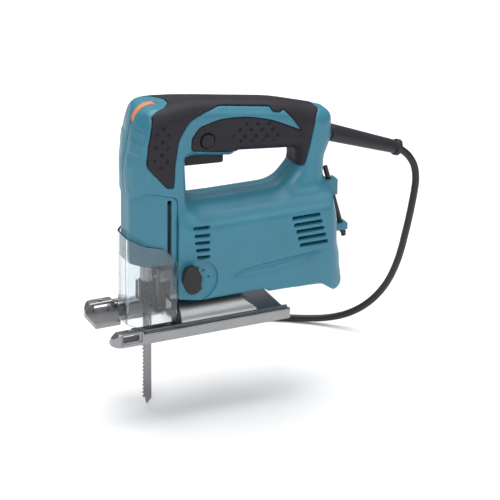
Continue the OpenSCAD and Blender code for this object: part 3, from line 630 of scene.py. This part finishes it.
def make_sole():
    """The sole: open under its arch, round the blade, and from the blade out to the front."""
    axes = grid((-46, -39.5, -1), (117, 39.5, 27), FINE_STEP)
    x, y, z = axes
    a, round_saw = np.abs(y), np.hypot(y, z)
    channel = brick(x, a, z, (-15, 31.6, 6.9), (200, 34.6, 20), 0.4)
    blade_hole = brick(x, y, z, (-22, -12, -9), (22, 12, 20), 2)
    front_slot = brick(x, y, z, (-60, -26, -9), (-20, 4.5, 20), 3)
    under = np.maximum(round_saw - ARCH_INNER, np.maximum(20 - x, x - 91))
    bolt = np.maximum(np.abs(x - BOLT_X) - BOLT_TRAVEL, np.maximum(round_saw - 30, 20 - round_saw))
    bolt = np.maximum(bolt, np.maximum(y - 21.8, -y - 5.5))
    field = cut(sole_metal(x, y, z), channel, *guide_openings(x, a, z), blade_hole, front_slot, under,
                within(NOSE_CUT, x, z), bolt)
    solid("sole_plate", "sole_steel", "sole", field, axes, ["sole"])


make_sole()


# ---- blade ----
def make_blade():
    """A flat T-shank blade with hooked teeth on its front edge, every other one set to one side."""
    thick, back, front, teeth, top, tip = 1.2, 3.4, -4.6, 19, -4, -76
    pitch, tooth_set, first_tip = (tip + 7 - top) / teeth, 0.25, 6
    rim = [(back, 37.5), (-4.4, 37.5), (-4.4, 24), (front + 0.8, 20), (front + 0.8, top + 1)]
    for i in range(teeth):
        rim += [(front + 2.0, top + pitch * (i + 0.15)), (front, top + pitch * (i + 0.9))]
    rim += [(front + 2.0, tip + 6.4), (-1, tip), (back, tip + 5)]
    mesh = bmesh.new()
    sides = []
    for y in (-thick / 2, thick / 2):
        ring = [mesh.verts.new((px * MM, y * MM, pz * MM)) for px, pz in rim]
        sides.append(ring)
    count = len(rim)
    mesh.faces.new(sides[0])
    mesh.faces.new(sides[1][::-1])
    for i in range(count):
        j = (i + 1) % count
        mesh.faces.new((sides[0][i], sides[1][i], sides[1][j], sides[0][j]))
    for i in range(teeth):
        for ring in sides:
            ring[first_tip + 2 * i].co.y += (tooth_set if i % 2 else -tooth_set) * MM
    bmesh.ops.recalc_face_normals(mesh, faces=mesh.faces)
    bmesh.ops.triangulate(mesh, faces=[f for f in mesh.faces if len(f.verts) > 4])
    data = bpy.data.meshes.new("saw_blade")
    mesh.to_mesh(data)
    mesh.free()
    blade = finish_piece(link_object("saw_blade", data), SLOT_OF_NODE["blade"], BODY_OF_NODE["blade"])
    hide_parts("blade")


make_blade()


# ---- the other pieces keep their CAD shape, those in sight with softened edges ----
# The width of each piece's softened edges.
EDGE_BEVELS = {"trigger": 0.8, "lock_button": 0.8, "orbit_lever": 1.0, "blade_holder": 0.6,
               "roller_fork": 0.4, "cord_guard": 0.8, "arch_cap": 0.5, "wrench_clip": 0.6}


def refined(node, width):
    """A CAD node's solid with its edges rounded by a bevel of this width."""
    data = NODES[node].data.copy()
    data.name = node
    mesh = bmesh.new()
    mesh.from_mesh(data)
    bmesh.ops.remove_doubles(mesh, verts=mesh.verts, dist=1e-6)
    bmesh.ops.dissolve_limit(mesh, angle_limit=math.radians(0.5), verts=mesh.verts, edges=mesh.edges)
    mesh.to_mesh(data)
    mesh.free()
    for name in [a.name for a in data.attributes if a.name.startswith("custom_normal")]:
        data.attributes.remove(data.attributes[name])
    data.shade_smooth()
    data.set_sharp_from_angle(angle=math.radians(35))
    piece = finish_piece(link_object(node + "_piece", data), SLOT_OF_NODE[node], BODY_OF_NODE[node])
    bevel = piece.modifiers.new("rounded_edges", "BEVEL")
    bevel.width, bevel.segments = width * MM, 2
    bevel.limit_method, bevel.angle_limit = "ANGLE", math.radians(40)
    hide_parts(node)


for piece_node, bevel_width in EDGE_BEVELS.items():
    refined(piece_node, bevel_width)
for node_name, kept in NODES.items():
    if not kept.hide_render:
        kept.data.materials.clear()
        kept.data.materials.append(SLOTS[SLOT_OF_NODE[node_name]])


# ---- studio ----
# The studio is in metres. Each light has its place, the point that it faces, its size and its power.
FLOOR_HALF, FLOOR_GAP = 9, 0.0001
FLOOR_Z = cad_box[0][2] - FLOOR_GAP
LIGHTS = {"top": ((0.2, 0.5, 2.3), (0.1, 0.1, 0), (2.2, 2.2), 62),
          "key": ((-0.9, -1.3, 1.1), (0.08, 0, 0.08), (0.8, 0.8), 12),
          "side": ((0.85, -1.55, 1.1), (0.06, 0, 0.02), (1.3, 0.7), 7)}


def floor_material():
    return material("studio_floor", (0.86, 0.86, 0.86), 0.7, spread=0.01, bump=0.0)


def area_light(name, at, target, size, power):
    """A soft rectangular light at one point, facing another."""
    data = bpy.data.lights.new(name, "AREA")
    data.shape, data.size, data.size_y, data.energy = "RECTANGLE", size[0], size[1], power
    light = link_object(name, data)
    light.location = at
    light.rotation_euler = (Vector(target) - Vector(at)).to_track_quat("-Z", "Y").to_euler()


def studio_world():
    """Dim round the horizon and lighter above, so that metal shows dark and bright bands."""
    world = bpy.data.worlds.new("studio")
    world.use_nodes = True
    t = world.node_tree
    place, parts = t.nodes.new("ShaderNodeTexCoord"), t.nodes.new("ShaderNodeSeparateXYZ")
    shade = t.nodes.new("ShaderNodeValToRGB")
    shade.color_ramp.elements[0].position, shade.color_ramp.elements[1].position = 0.05, 0.7
    shade.color_ramp.elements[0].color = (0.10, 0.10, 0.11, 1)
    shade.color_ramp.elements[1].color = (0.62, 0.64, 0.66, 1)
    link(t, place, "Generated", parts, "Vector")
    link(t, parts, "Z", shade, "Fac")
    link(t, shade, "Color", t.nodes["Background"], "Color")
    return world


def make_studio():
    """A pale floor under the coil and the blade's tip, three soft lights and a plain sky."""
    data = bpy.data.meshes.new("studio_floor")
    corners = [(-1, -1), (1, -1), (1, 1), (-1, 1)]
    data.from_pydata([(FLOOR_HALF * i, FLOOR_HALF * j, FLOOR_Z) for i, j in corners], [], [(0, 1, 2, 3)])
    floor = link_object("studio_floor", data)
    data.materials.append(floor_material())
    bpy.context.scene.world = studio_world()
    for name, settings in LIGHTS.items():
        area_light(name, *settings)
    bpy.context.scene.view_settings.view_transform = "Standard"


make_studio()
